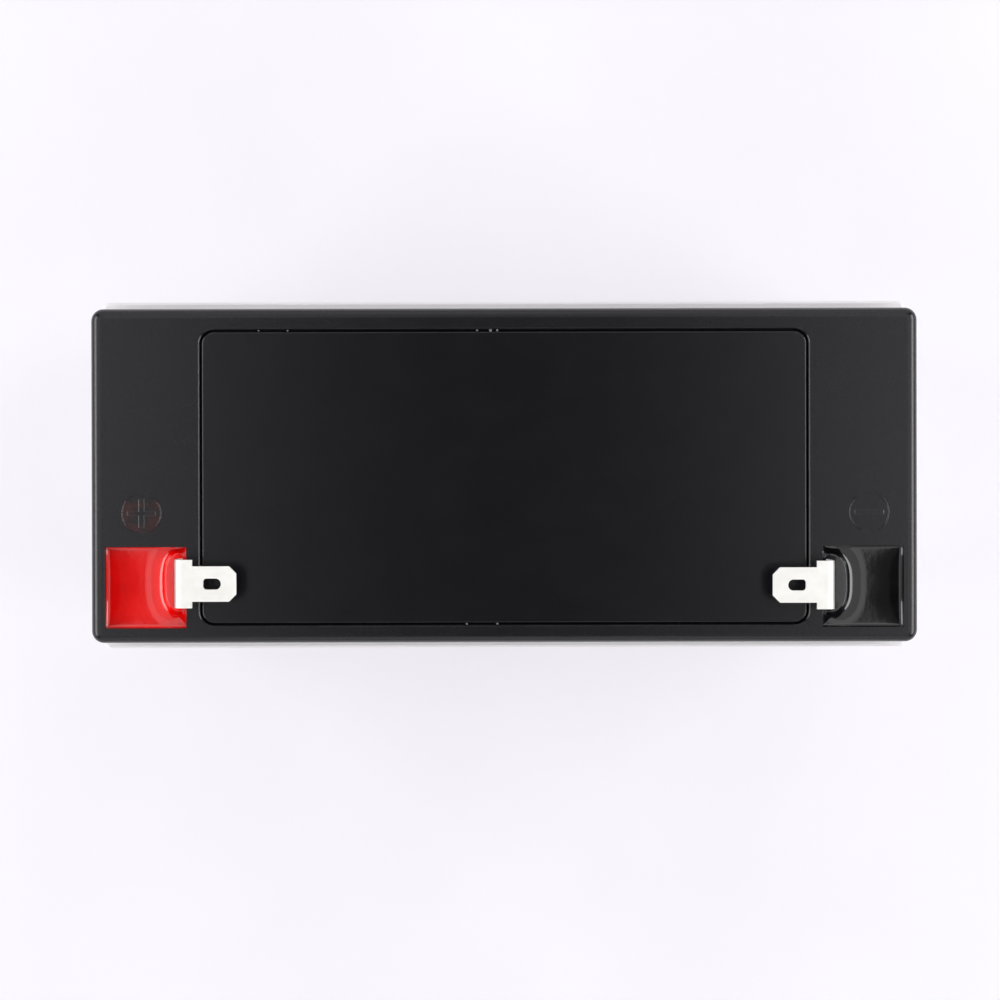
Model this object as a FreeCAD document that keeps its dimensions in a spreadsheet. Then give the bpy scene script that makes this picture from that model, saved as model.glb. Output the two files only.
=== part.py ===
import FreeCAD, Part
import math
import os
import re

import Sketcher

# Sealed lead acid battery, 12 V, with six cells in one container.
# Millimetres, +Z up. The origin is on the standing face, under the middle of the container.
# +X runs along the length towards the negative terminal, and both terminals stand at the front, -Y.

CELL_COUNT = 6
POSITIVE_PLATE_COUNT = 4
NEGATIVE_PLATE_COUNT = 5
POSITIVE_END = -1
NEGATIVE_END = 1
FRONT = -1
BACK = 1

# Driving dimensions. Each one can be changed by itself.
SIZES = {
    # container
    "case_length": 151.0,
    "case_width": 65.0,
    "case_height": 80.0,
    "collar_height": 6.0,
    "collar_overhang": 0.4,
    "wall_draft": 0.6,
    "case_corner_radius": 1.6,
    "rim_edge_bevel": 0.4,
    "base_edge_radius": 1.0,
    "base_thickness": 2.5,
    "end_wall": 2.5,
    "side_wall": 3.5,
    "partition_wall": 1.4,
    # lid
    "lid_inset": 1.95,
    "lid_height": 14.0,
    "lid_corner_radius": 2.2,
    "lid_edge_radius": 2.0,
    "deck_thickness": 2.5,
    "spigot_depth": 2.0,
    "spigot_wall": 1.0,
    "spigot_clearance": 0.05,
    "rib_wall": 1.2,
    # recess for the vent plate, and the tub under it
    "recess_end_gap": 2.6,
    "recess_back_margin": 4.0,
    "recess_front_margin": 3.4,
    "recess_radius": 2.5,
    "recess_rim_bevel": 0.35,
    "ledge_width": 2.0,
    "ledge_thickness": 2.0,
    "tub_wall": 1.6,
    "tub_rise": 2.0,
    "tub_floor": 2.2,
    "tub_corner_radius": 1.5,
    # vents
    "vent_end_gap": 0.5,
    "chimney_diameter": 7.0,
    "chimney_bore": 3.0,
    "gas_slot_length": 5.6,
    "gas_slot_width": 3.0,
    "gas_slot_depth": 1.2,
    "cap_wall": 0.7,
    "cap_roof": 1.4,
    "cap_hem_gap": 0.5,
    "plate_thickness": 2.0,
    "plate_clearance": 0.15,
    "plate_edge_bevel": 0.35,
    "press_bar_width": 4.0,
    "press_bar_depth": 1.8,
    # terminal wells
    "well_size": 14.8,
    "well_depth": 10.0,
    "well_floor": 2.0,
    "well_wall": 1.8,
    "well_end_wall": 2.7,
    "well_front_wall": 2.8,
    # terminals
    "positive_setback": 1.0,
    "negative_setback": 0.6,
    "terminal_rise": 6.0,
    "strip_thickness": 0.8,
    "tab_width": 6.35,
    "tab_length": 7.95,
    "shoulder_width": 8.7,
    "shoulder_length": 3.3,
    "bend_radius": 0.6,
    "slot_length": 3.2,
    "slot_width": 2.0,
    "slot_from_tip": 4.35,
    "tip_chamfer": 1.3,
    "tip_bevel_length": 0.6,
    "tip_bevel_depth": 0.2,
    "leg_gap": 0.7,
    "foot_reach": 4.5,
    "foot_rise": 0.8,
    # resin in the wells
    "resin_sink": 0.5,
    "resin_flat_radius": 6.2,
    "resin_bowl_depth": 3.2,
    "mound_radius": 6.2,
    "mound_slope": 1.8,
    "mound_reach": 2.6,
    "mound_height": 2.2,
    # lead castings
    "post_diameter": 5.0,
    "post_clearance": 0.2,
    "pin_diameter": 3.6,
    "strap_width": 12.0,
    "strap_thickness": 3.5,
    "strap_headroom": 0.5,
    "strap_end_gap": 1.0,
    "strap_side_gap": 5.0,
    "weld_lug_height": 6.0,
    "weld_lug_thickness": 2.5,
    "weld_diameter": 4.6,
    # plates and separators
    "plate_side_gap": 1.0,
    "positive_thickness": 2.4,
    "negative_thickness": 1.6,
    "plate_lug_width": 9.0,
    "plate_lug_length": 3.5,
    "stack_clearance": 0.05,
    "mat_overhang": 1.5,
}

# Lengths that follow from the driving dimensions.
CAVITY_WIDTH = "(case_width - 2 * side_wall)"
CAVITY_LENGTH = "(case_length - 2 * end_wall)"
CELL_LENGTH = f"(({CAVITY_LENGTH} - {CELL_COUNT - 1} * partition_wall) / {CELL_COUNT})"
CELL_PITCH = f"({CELL_LENGTH} + partition_wall)"
LID_WIDTH = "(case_width - 2 * lid_inset)"
LID_TOP = "(case_height + lid_height)"
SPIGOT_BOTTOM = "(case_height - spigot_depth)"
SPIGOT_LENGTH = f"({CAVITY_LENGTH} - 2 * spigot_clearance)"
SPIGOT_WIDTH = f"({CAVITY_WIDTH} - 2 * spigot_clearance)"
WELL_X = "(case_length / 2 - well_end_wall - well_size / 2)"
WELL_Y = f"(well_front_wall + well_size / 2 - {LID_WIDTH} / 2)"
RECESS_LENGTH = f"(2 * ({WELL_X} - well_size / 2 - recess_end_gap))"
RECESS_WIDTH = f"({LID_WIDTH} - recess_back_margin - recess_front_margin)"
RECESS_Y = "((recess_front_margin - recess_back_margin) / 2)"
LEDGE_LEVEL = f"({LID_TOP} - plate_thickness)"
TUB_BOTTOM = "(case_height + tub_rise)"
TUB_FLOOR_LEVEL = f"({TUB_BOTTOM} + tub_floor)"
TUB_LENGTH = f"({RECESS_LENGTH} - 2 * ledge_width)"
TUB_WIDTH = f"({RECESS_WIDTH} - 2 * ledge_width)"
CAP_TOP = f"({LEDGE_LEVEL} - press_bar_depth)"
CHIMNEY_TOP = f"({CAP_TOP} - cap_roof)"
VENT_ROW = f"({TUB_LENGTH} - chimney_diameter - 2 * (cap_wall + vent_end_gap))"
VENT_PITCH = f"({VENT_ROW} / {CELL_COUNT - 1})"
WELL_FLOOR_LEVEL = f"({LID_TOP} - well_depth)"
WELL_BOTTOM = f"({WELL_FLOOR_LEVEL} - well_floor)"
LEG_FACE = "(well_size / 2 - leg_gap)"
LEG_BACK = f"({LEG_FACE} - strip_thickness)"
TAB_TOP = f"({LID_TOP} + terminal_rise)"
TAB_ROOT = f"({LEG_BACK} + shoulder_length)"
TAB_TIP = f"({TAB_ROOT} + tab_length)"
FOOT_LEVEL = f"({WELL_FLOOR_LEVEL} + foot_rise)"
WELD_LUG_TOP = f"({SPIGOT_BOTTOM} - strap_headroom)"
STRAP_BOTTOM = f"({WELD_LUG_TOP} - weld_lug_height)"
STRAP_OFFSET = f"({CAVITY_WIDTH} / 2 - strap_side_gap - strap_width / 2)"
PLATE_TOP = f"({STRAP_BOTTOM} - plate_lug_length)"
PLATE_WIDTH = f"({CAVITY_WIDTH} - 2 * plate_side_gap)"
STACK_LENGTH = f"({CELL_LENGTH} - 2 * stack_clearance)"
PLATES_THICK = f"({POSITIVE_PLATE_COUNT} * positive_thickness + {NEGATIVE_PLATE_COUNT} * negative_thickness)"
MAT_THICKNESS = f"(({STACK_LENGTH} - {PLATES_THICK}) / {2 * POSITIVE_PLATE_COUNT})"
PLATE_PITCH = f"(({STACK_LENGTH} - negative_thickness) / {POSITIVE_PLATE_COUNT})"

doc = FreeCAD.newDocument("Battery")
sheet = doc.addObject("Spreadsheet::Sheet", "Sizes")
nodes = []


def fill_sheet():
    for row, (alias, number) in enumerate(SIZES.items(), start=1):
        sheet.set(f"A{row}", alias.replace("_", " "))
        sheet.set(f"B{row}", str(number))
        sheet.setAlias(f"B{row}", alias)
    doc.recompute()


def value(alias):
    """The number that the sheet holds under this name."""
    return float(sheet.get(alias))


def bind(target, prop, formula):
    """Tie a property to a formula in the sheet's names, which all hold an underscore."""
    target.setExpression(prop, re.sub(r"\b[a-z]+(?:_[a-z]+)+\b", r"Sizes.\g<0>", str(formula)))


# Sketches

def new_body(label):
    body = doc.addObject("PartDesign::Body", label)
    body.Label = label
    nodes.append(body)
    return body


def origin_feature(body, role):
    return [item for item in body.Origin.OriginFeatures if item.Role == role][0]


def new_sketch(body, name, plane="XY_Plane", offset="0"):
    """An empty sketch on one of the body's own planes, moved along the plane's normal."""
    sketch = body.newObject("Sketcher::SketchObject", name)
    sketch.AttachmentSupport = [(origin_feature(body, plane), "")]
    sketch.MapMode = "FlatFace"
    bind(sketch, "AttachmentOffset.Base.z", offset)
    return sketch


def hold(sketch, kind, point, formula):
    """Set the distance from the origin to a point along one sketch axis."""
    geometry, position = point
    index = sketch.addConstraint(Sketcher.Constraint(kind, -1, 1, geometry, position, 1.0))
    bind(sketch, f"Constraints[{index}]", formula)


def polygon(sketch, corners):
    """A closed outline through corners that are given as pairs of formulas."""
    first = sketch.GeometryCount
    count = len(corners)
    turns = [2 * math.pi * k / count for k in range(count)]
    start = [FreeCAD.Vector(math.cos(turn), math.sin(turn), 0) for turn in turns]
    for k in range(count):
        sketch.addGeometry(Part.LineSegment(start[k], start[(k + 1) % count]), False)
    for k in range(count):
        following = first + (k + 1) % count
        sketch.addConstraint(Sketcher.Constraint("Coincident", first + k, 2, following, 1))
    for k, (across, along) in enumerate(corners):
        hold(sketch, "DistanceX", (first + k, 1), across)
        hold(sketch, "DistanceY", (first + k, 1), along)


def rectangle(sketch, length, width, centre=("0", "0")):
    x, y = centre
    polygon(sketch, [
        (f"{x} - {length} / 2", f"{y} - {width} / 2"),
        (f"{x} + {length} / 2", f"{y} - {width} / 2"),
        (f"{x} + {length} / 2", f"{y} + {width} / 2"),
        (f"{x} - {length} / 2", f"{y} + {width} / 2"),
    ])


def circle(sketch, diameter, centre=("0", "0")):
    index = sketch.addGeometry(Part.Circle(FreeCAD.Vector(0, 0, 0), FreeCAD.Vector(0, 0, 1), 1.0), False)
    hold(sketch, "DistanceX", (index, 3), centre[0])
    hold(sketch, "DistanceY", (index, 3), centre[1])
    number = sketch.addConstraint(Sketcher.Constraint("Radius", index, 1.0))
    bind(sketch, f"Constraints[{number}]", f"{diameter} / 2")


# Features

def pad(body, sketch, length, midplane=False):
    feature = body.newObject("PartDesign::Pad", sketch.Name + "_pad")
    feature.Profile = sketch
    feature.Midplane = midplane
    bind(feature, "Length", length)
    doc.recompute()
    return feature


def pocket(body, sketch, depth, upward=False, midplane=False):
    """Cut down from the sketch, or up from it. The cut has to take something away."""
    before = body.Shape.Volume
    feature = body.newObject("PartDesign::Pocket", sketch.Name + "_pocket")
    feature.Profile = sketch
    feature.Reversed = upward
    feature.Midplane = midplane
    bind(feature, "Length", depth)
    doc.recompute()
    if body.Shape.Volume >= before:
        raise RuntimeError(f"{feature.Label} cuts nothing")
    return feature


def row_of(body, feature, axis, count, spacing):
    """Repeat a feature along one of the body's axes."""
    pattern = body.newObject("PartDesign::LinearPattern", feature.Name + "_row")
    pattern.Originals = [feature]
    pattern.Direction = (origin_feature(body, axis), [""])
    pattern.Occurrences = count
    bind(pattern, "Length", f"{spacing} * {count - 1}")
    body.Tip = pattern
    doc.recompute()
    return pattern


def edges_where(feature, test):
    return [f"Edge{k}" for k, edge in enumerate(feature.Shape.Edges, start=1) if test(edge)]


def faces_where(feature, test):
    return [f"Face{k}" for k, face in enumerate(feature.Shape.Faces, start=1) if test(face)]


def is_upright(edge):
    ends = [vertex.Point for vertex in edge.Vertexes]
    if len(ends) != 2:
        return False
    return math.hypot(ends[0].x - ends[1].x, ends[0].y - ends[1].y) < 1e-4


def is_at(number, wanted):
    return abs(number - wanted) < 1e-3


def round_edges(body, feature, test, radius):
    fillet = body.newObject("PartDesign::Fillet", feature.Name + "_fillet")
    fillet.Base = (feature, edges_where(feature, test))
    bind(fillet, "Radius", radius)
    doc.recompute()
    return fillet


def bevel_edges(body, feature, test, size):
    chamfer = body.newObject("PartDesign::Chamfer", feature.Name + "_chamfer")
    chamfer.Base = (feature, edges_where(feature, test))
    bind(chamfer, "Size", size)
    doc.recompute()
    return chamfer


def partition_x(number):
    """Place of the partition between cell number and the next one, as a formula."""
    return f"({number - CELL_COUNT / 2} * {CELL_PITCH})"


def cell_x(number):
    return f"({number - (CELL_COUNT + 1) / 2} * {CELL_PITCH})"


def terminal_y(end):
    """The terminals stand a little behind the middle of their wells."""
    setback = "positive_setback" if end == POSITIVE_END else "negative_setback"
    return f"({WELL_Y} + {setback})"


def positive_side(cell):
    """Positive lugs stand at the front in odd cells and at the back in even ones."""
    return FRONT if cell % 2 == 1 else BACK


# Container

def make_container():
    body = new_body("container")
    shoulder_length = "case_length - 2 * collar_overhang"
    shoulder_width = "case_width - 2 * collar_overhang"
    base = new_sketch(body, "container_base")
    rectangle(base, f"({shoulder_length} - 2 * wall_draft)", f"({shoulder_width} - 2 * wall_draft)")
    block = pad(body, base, "case_height - collar_height")
    walls = body.newObject("PartDesign::Draft", "container_walls")
    walls.Base = (block, faces_where(block, lambda face: face.BoundBox.ZLength > 1))
    walls.NeutralPlane = (origin_feature(body, "XY_Plane"), [""])
    walls.Reversed = True
    bind(walls, "Angle", "atan(wall_draft / (case_height - collar_height))")
    doc.recompute()
    rounded = round_edges(body, walls, lambda edge: edge.BoundBox.ZLength > 1, "case_corner_radius")
    round_edges(body, rounded, lambda edge: is_at(edge.BoundBox.ZMax, 0), "base_edge_radius")

    collar = new_sketch(body, "container_collar", offset="case_height - collar_height")
    rectangle(collar, "case_length", "case_width")
    collar_pad = pad(body, collar, "collar_height")
    collar_low = value("case_height") - value("collar_height")

    def is_collar_corner(edge):
        return is_upright(edge) and edge.BoundBox.ZMin > collar_low - 1e-3

    cornered = round_edges(body, collar_pad, is_collar_corner, "case_corner_radius")
    rim = value("case_height")
    bevel_edges(body, cornered, lambda edge: is_at(edge.BoundBox.ZMin, rim), "rim_edge_bevel")

    cell = new_sketch(body, "cell_mouth", offset="case_height")
    rectangle(cell, CELL_LENGTH, CAVITY_WIDTH, (cell_x(1), "0"))
    first_cell = pocket(body, cell, "case_height - base_thickness")
    row_of(body, first_cell, "X_Axis", CELL_COUNT, CELL_PITCH)
    for number in range(1, CELL_COUNT):
        side = positive_side(number + 1)
        window = new_sketch(body, f"weld_window_{number}", "YZ_Plane", partition_x(number))
        weld_level = f"{WELD_LUG_TOP} - weld_lug_height / 2"
        circle(window, "weld_diameter", (f"{side} * {STRAP_OFFSET}", weld_level))
        pocket(body, window, "2 * partition_wall", midplane=True)


# Lid

def make_lid():
    body = new_body("lid")
    shell = new_sketch(body, "lid_shell", offset="case_height")
    rectangle(shell, "case_length", LID_WIDTH)
    block = pad(body, shell, "lid_height")
    rounded = round_edges(body, block, is_upright, "lid_corner_radius")
    top = value("case_height") + value("lid_height")
    round_edges(body, rounded, lambda edge: is_at(edge.BoundBox.ZMin, top), "lid_edge_radius")

    spigot = new_sketch(body, "lid_spigot", offset=SPIGOT_BOTTOM)
    rectangle(spigot, SPIGOT_LENGTH, SPIGOT_WIDTH)
    pad(body, spigot, "spigot_depth")
    hollow = new_sketch(body, "lid_hollow", offset=SPIGOT_BOTTOM)
    rectangle(hollow, f"({SPIGOT_LENGTH} - 2 * spigot_wall)", f"({SPIGOT_WIDTH} - 2 * spigot_wall)")
    pocket(body, hollow, f"{LID_TOP} - deck_thickness - {SPIGOT_BOTTOM}", upward=True)
    notches = new_sketch(body, "spigot_notches", offset=SPIGOT_BOTTOM)
    for number in range(1, CELL_COUNT):
        notch_length = "(partition_wall + 2 * spigot_clearance)"
        rectangle(notches, notch_length, f"({SPIGOT_WIDTH} + spigot_wall)", (partition_x(number), "0"))
    pocket(body, notches, "spigot_depth", upward=True)

    add_lid_blocks(body)
    add_partition_ribs(body)
    cut_recess(body, top)
    cut_wells(body)
    add_chimneys(body)


def add_lid_blocks(body):
    """Solid walls of the recess, the tub and the two wells, joined to the deck from below."""
    deck_middle = f"({LID_TOP} - deck_thickness / 2)"
    ledge_bottom = f"({LEDGE_LEVEL} - ledge_thickness)"
    ledge = new_sketch(body, "ledge_block", offset=ledge_bottom)
    rectangle(ledge, f"({RECESS_LENGTH} + 2 * tub_wall)", f"({SPIGOT_WIDTH} - spigot_wall)")
    pad(body, ledge, f"{deck_middle} - {ledge_bottom}")
    tub = new_sketch(body, "tub_block", offset=TUB_BOTTOM)
    rectangle(tub, f"({TUB_LENGTH} + 2 * tub_wall)", f"({TUB_WIDTH} + 2 * tub_wall)", ("0", RECESS_Y))
    pad(body, tub, f"{deck_middle} - {TUB_BOTTOM}")
    wells = new_sketch(body, "well_blocks", offset=WELL_BOTTOM)
    for end in (POSITIVE_END, NEGATIVE_END):
        outside = "(well_size + 2 * well_wall)"
        rectangle(wells, outside, outside, (f"{end} * {WELL_X}", WELL_Y))
    pad(body, wells, f"{deck_middle} - {WELL_BOTTOM}")


def add_partition_ribs(body):
    """Two ribs stand astride each partition and close its cell off up to the deck."""
    ribs = new_sketch(body, "partition_ribs", offset=SPIGOT_BOTTOM)
    from_middle = "(partition_wall / 2 + spigot_clearance + rib_wall / 2)"
    for number in range(1, CELL_COUNT):
        for side in (-1, 1):
            middle = f"({partition_x(number)} + {side} * {from_middle})"
            rectangle(ribs, "rib_wall", f"({SPIGOT_WIDTH} - spigot_wall)", (middle, "0"))
    pad(body, ribs, f"{LID_TOP} - deck_thickness / 2 - {SPIGOT_BOTTOM}")


def recess_half_length():
    to_well = value("well_end_wall") + value("well_size") + value("recess_end_gap")
    return value("case_length") / 2 - to_well


def cut_recess(body, top):
    half_length = recess_half_length()
    recess = new_sketch(body, "plate_recess", offset=LID_TOP)
    rectangle(recess, RECESS_LENGTH, RECESS_WIDTH, ("0", RECESS_Y))
    cut = pocket(body, recess, "plate_thickness")

    def is_recess_corner(edge):
        return is_upright(edge) and is_at(abs(edge.BoundBox.XMax), half_length)

    rounded = round_edges(body, cut, is_recess_corner, "recess_radius")

    def is_recess_rim(edge):
        box = edge.BoundBox
        inside = max(abs(box.XMin), abs(box.XMax)) < half_length + 1e-3
        return is_at(box.ZMin, top) and is_at(box.ZMax, top) and inside

    bevel_edges(body, rounded, is_recess_rim, "recess_rim_bevel")
    tub = new_sketch(body, "tub_inside", offset=LEDGE_LEVEL)
    rectangle(tub, TUB_LENGTH, TUB_WIDTH, ("0", RECESS_Y))
    tub_cut = pocket(body, tub, f"{LEDGE_LEVEL} - {TUB_FLOOR_LEVEL}")
    tub_end = half_length - value("ledge_width")

    def is_tub_corner(edge):
        return is_upright(edge) and is_at(abs(edge.BoundBox.XMax), tub_end)

    round_edges(body, tub_cut, is_tub_corner, "tub_corner_radius")


def cut_wells(body):
    wells = new_sketch(body, "wells", offset=LID_TOP)
    holes = new_sketch(body, "post_holes", offset=WELL_FLOOR_LEVEL)
    for end in (POSITIVE_END, NEGATIVE_END):
        rectangle(wells, "well_size", "well_size", (f"{end} * {WELL_X}", WELL_Y))
        circle(holes, "(post_diameter + 2 * post_clearance)", (f"{end} * {WELL_X}", terminal_y(end)))
    pocket(body, wells, "well_depth")
    pocket(body, holes, "well_floor")


def add_chimneys(body):
    """Six vent chimneys in one row, and a slot that leads each end cell's gas to its own."""
    first = (f"(-{VENT_ROW} / 2)", "0")
    tube = new_sketch(body, "chimney", offset=TUB_FLOOR_LEVEL)
    circle(tube, "chimney_diameter", first)
    row_of(body, pad(body, tube, f"{CHIMNEY_TOP} - {TUB_FLOOR_LEVEL}"), "X_Axis", CELL_COUNT, VENT_PITCH)
    bore = new_sketch(body, "chimney_bore", offset=CHIMNEY_TOP)
    circle(bore, "chimney_bore", first)
    row_of(body, pocket(body, bore, f"{CHIMNEY_TOP} - {TUB_BOTTOM}"), "X_Axis", CELL_COUNT, VENT_PITCH)
    slots = new_sketch(body, "gas_slots", offset=TUB_BOTTOM)
    for end in (POSITIVE_END, NEGATIVE_END):
        middle = f"({VENT_ROW} / 2 - chimney_bore / 2 + gas_slot_length / 2)"
        rectangle(slots, "gas_slot_length", "gas_slot_width", (f"{end} * {middle}", "0"))
    pocket(body, slots, "gas_slot_depth", upward=True)


# Vent plate and valve caps

def make_vent_plate():
    body = new_body("vent_plate")
    outline = new_sketch(body, "vent_plate_outline", offset=LEDGE_LEVEL)
    plate_length = f"({RECESS_LENGTH} - 2 * plate_clearance)"
    plate_width = f"({RECESS_WIDTH} - 2 * plate_clearance)"
    rectangle(outline, plate_length, plate_width, ("0", RECESS_Y))
    slab = pad(body, outline, "plate_thickness")
    rounded = round_edges(body, slab, is_upright, "recess_radius - plate_clearance")
    top = value("case_height") + value("lid_height")
    bevel_edges(body, rounded, lambda edge: is_at(edge.BoundBox.ZMin, top), "plate_edge_bevel")
    bar = new_sketch(body, "vent_plate_press_bar", offset=CAP_TOP)
    rectangle(bar, f"({VENT_ROW} + chimney_diameter)", "press_bar_width")
    pad(body, bar, "press_bar_depth")


def make_valve_cap(number):
    """A rubber cup that sits mouth down over its chimney."""
    body = new_body(f"valve_cap_{number}")
    profile = new_sketch(body, f"cap_profile_{number}", "XZ_Plane")
    bore = "(chimney_diameter / 2)"
    outside = f"({bore} + cap_wall)"
    hem = f"({TUB_FLOOR_LEVEL} + cap_hem_gap)"
    polygon(profile, [
        ("0", CHIMNEY_TOP),
        (bore, CHIMNEY_TOP),
        (bore, hem),
        (outside, hem),
        (outside, CAP_TOP),
        ("0", CAP_TOP),
    ])
    cup = body.newObject("PartDesign::Revolution", f"cap_cup_{number}")
    cup.Profile = profile
    cup.ReferenceAxis = (profile, ["V_Axis"])
    cup.Angle = 360
    bind(body, "Placement.Base.x", f"{number - (CELL_COUNT + 1) / 2} * {VENT_PITCH}")
    doc.recompute()


# Terminals

def place_at_well(body, end):
    """The terminal's own +X points to the middle of the battery, from either end."""
    turn = 0 if end == POSITIVE_END else 180
    body.Placement = FreeCAD.Placement(FreeCAD.Vector(), FreeCAD.Rotation(FreeCAD.Vector(0, 0, 1), turn))
    bind(body, "Placement.Base.x", f"{end} * {WELL_X}")
    bind(body, "Placement.Base.y", terminal_y(end))


def make_terminal(label, end):
    """Strip bent twice: foot on the lead post, leg up through the resin, tab above the lid."""
    body = new_body(label)
    side_view = new_sketch(body, label + "_bend", "XZ_Plane")
    foot_end = "(-foot_reach)"
    polygon(side_view, [
        (foot_end, FOOT_LEVEL),
        (LEG_FACE, FOOT_LEVEL),
        (LEG_FACE, f"({TAB_TOP} - strip_thickness)"),
        (TAB_TIP, f"({TAB_TOP} - strip_thickness)"),
        (TAB_TIP, TAB_TOP),
        (LEG_BACK, TAB_TOP),
        (LEG_BACK, f"({FOOT_LEVEL} + strip_thickness)"),
        (foot_end, f"({FOOT_LEVEL} + strip_thickness)"),
    ])
    strip = pad(body, side_view, "shoulder_width", midplane=True)
    foot_level = value("case_height") + value("lid_height") - value("well_depth") + value("foot_rise")
    tab_top = value("case_height") + value("lid_height") + value("terminal_rise")
    thickness = value("strip_thickness")
    leg_face = value("well_size") / 2 - value("leg_gap")
    leg_back = leg_face - thickness

    def is_bend(edge, x, z):
        box = edge.BoundBox
        return is_at(box.XMin, x) and is_at(box.XMax, x) and is_at(box.ZMin, z) and is_at(box.ZMax, z)

    def is_inner_bend(edge):
        return is_bend(edge, leg_face, tab_top - thickness) or is_bend(edge, leg_back, foot_level + thickness)

    def is_outer_bend(edge):
        return is_bend(edge, leg_back, tab_top) or is_bend(edge, leg_face, foot_level)

    inner = round_edges(body, strip, is_inner_bend, "bend_radius")
    round_edges(body, inner, is_outer_bend, "bend_radius + strip_thickness")

    trim = new_sketch(body, label + "_trim", offset=TAB_TOP)
    spare = "((shoulder_width - tab_width) / 2)"
    for side in (-1, 1):
        middle = (f"({TAB_ROOT} + tab_length)", f"{side} * (tab_width / 2 + {spare})")
        rectangle(trim, "(2 * tab_length)", f"(2 * {spare})", middle)
    pocket(body, trim, "1.5 * strip_thickness")
    slot = new_sketch(body, label + "_slot", offset=TAB_TOP)
    rectangle(slot, "slot_length", "slot_width", (f"({TAB_TIP} - slot_from_tip)", "0"))
    slotted = pocket(body, slot, "1.5 * strip_thickness")
    slot_middle = leg_back + value("shoulder_length") + value("tab_length") - value("slot_from_tip")
    slot_root = slot_middle - value("slot_length") / 2
    slot_end = slot_middle + value("slot_length") / 2
    tip = leg_back + value("shoulder_length") + value("tab_length")

    def stands_at(x):
        return lambda edge: is_upright(edge) and is_at(edge.BoundBox.XMin, x)

    squarer_end = round_edges(body, slotted, stands_at(slot_root), "slot_width * 0.3")
    rounder_end = round_edges(body, squarer_end, stands_at(slot_end), "slot_width * 0.48")
    bevel_edges(body, rounder_end, stands_at(tip), "tip_chamfer")
    wedges = new_sketch(body, label + "_tip_wedges", "XZ_Plane")
    tab_bottom = f"({TAB_TOP} - strip_thickness)"
    for face_level, deeper in ((TAB_TOP, -1), (tab_bottom, 1)):
        polygon(wedges, [
            (f"({TAB_TIP} - tip_bevel_length)", face_level),
            (TAB_TIP, face_level),
            (TAB_TIP, f"({face_level} + {deeper} * tip_bevel_depth)"),
        ])
    pocket(body, wedges, "2 * tab_width", midplane=True)
    hole = new_sketch(body, label + "_hole", offset=f"({FOOT_LEVEL} + strip_thickness)")
    circle(hole, "pin_diameter")
    pocket(body, hole, "1.5 * strip_thickness")
    place_at_well(body, end)
    doc.recompute()
    return body


# Lead castings

def make_end_strap(label, cell, end):
    """The strap of an end cell, with the post that carries the terminal."""
    body = new_body(label)
    strap = new_sketch(body, label + "_bar", offset=STRAP_BOTTOM)
    strap_centre = (f"({cell_x(cell)} - {end} * {WELL_X})", f"({FRONT} * {STRAP_OFFSET} - {terminal_y(end)})")
    rectangle(strap, f"({CELL_LENGTH} - 2 * strap_end_gap)", "strap_width", strap_centre)
    pad(body, strap, "strap_thickness")
    profile = new_sketch(body, label + "_post", "XZ_Plane")
    pin = "(pin_diameter / 2)"
    foot_top = f"({FOOT_LEVEL} + strip_thickness)"
    polygon(profile, [
        ("0", STRAP_BOTTOM),
        ("(post_diameter / 2)", STRAP_BOTTOM),
        ("(post_diameter / 2)", FOOT_LEVEL),
        (pin, FOOT_LEVEL),
        (pin, foot_top),
        ("0", foot_top),
    ])
    post = body.newObject("PartDesign::Revolution", label + "_turned_post")
    post.Profile = profile
    post.ReferenceAxis = (profile, ["V_Axis"])
    post.Angle = 360
    bind(body, "Placement.Base.x", f"{end} * {WELL_X}")
    bind(body, "Placement.Base.y", terminal_y(end))
    doc.recompute()
    return body


def make_cell_bridge(number):
    """Negative strap of one cell, welded through the partition to the next positive strap."""
    label = f"cell_bridge_{number}_{number + 1}"
    body = new_body(label)
    bars = new_sketch(body, label + "_bars", offset=STRAP_BOTTOM)
    lugs = new_sketch(body, label + "_lugs", offset=STRAP_BOTTOM)
    reach = f"({CELL_LENGTH} - strap_end_gap)"
    for side in (-1, 1):
        rectangle(bars, reach, "strap_width", (f"{side} * (partition_wall / 2 + {reach} / 2)", "0"))
        lug_middle = f"{side} * (partition_wall / 2 + weld_lug_thickness / 2)"
        rectangle(lugs, "weld_lug_thickness", "strap_width", (lug_middle, "0"))
    pad(body, bars, "strap_thickness")
    pad(body, lugs, "weld_lug_height")
    weld = new_sketch(body, label + "_weld", "YZ_Plane")
    circle(weld, "weld_diameter", ("0", f"{WELD_LUG_TOP} - weld_lug_height / 2"))
    pad(body, weld, "partition_wall", midplane=True)
    bind(body, "Placement.Base.x", partition_x(number))
    bind(body, "Placement.Base.y", f"{positive_side(number + 1)} * {STRAP_OFFSET}")
    doc.recompute()


# Plates and separators

def make_plates(label, cell, side, thickness, standing_level, first_middle, count):
    """Pasted plates of one sign, each with its lug under the strap."""
    body = new_body(label)
    face = new_sketch(body, label + "_face", "YZ_Plane", first_middle)
    plate_left = f"(-{PLATE_WIDTH} / 2)"
    plate_right = f"({PLATE_WIDTH} / 2)"
    lug_left = f"({side} * {STRAP_OFFSET} - plate_lug_width / 2)"
    lug_right = f"({side} * {STRAP_OFFSET} + plate_lug_width / 2)"
    polygon(face, [
        (plate_left, standing_level),
        (plate_right, standing_level),
        (plate_right, PLATE_TOP),
        (lug_right, PLATE_TOP),
        (lug_right, STRAP_BOTTOM),
        (lug_left, STRAP_BOTTOM),
        (lug_left, PLATE_TOP),
        (plate_left, PLATE_TOP),
    ])
    row_of(body, pad(body, face, thickness, midplane=True), "X_Axis", count, PLATE_PITCH)
    bind(body, "Placement.Base.x", cell_x(cell))
    doc.recompute()


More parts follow.
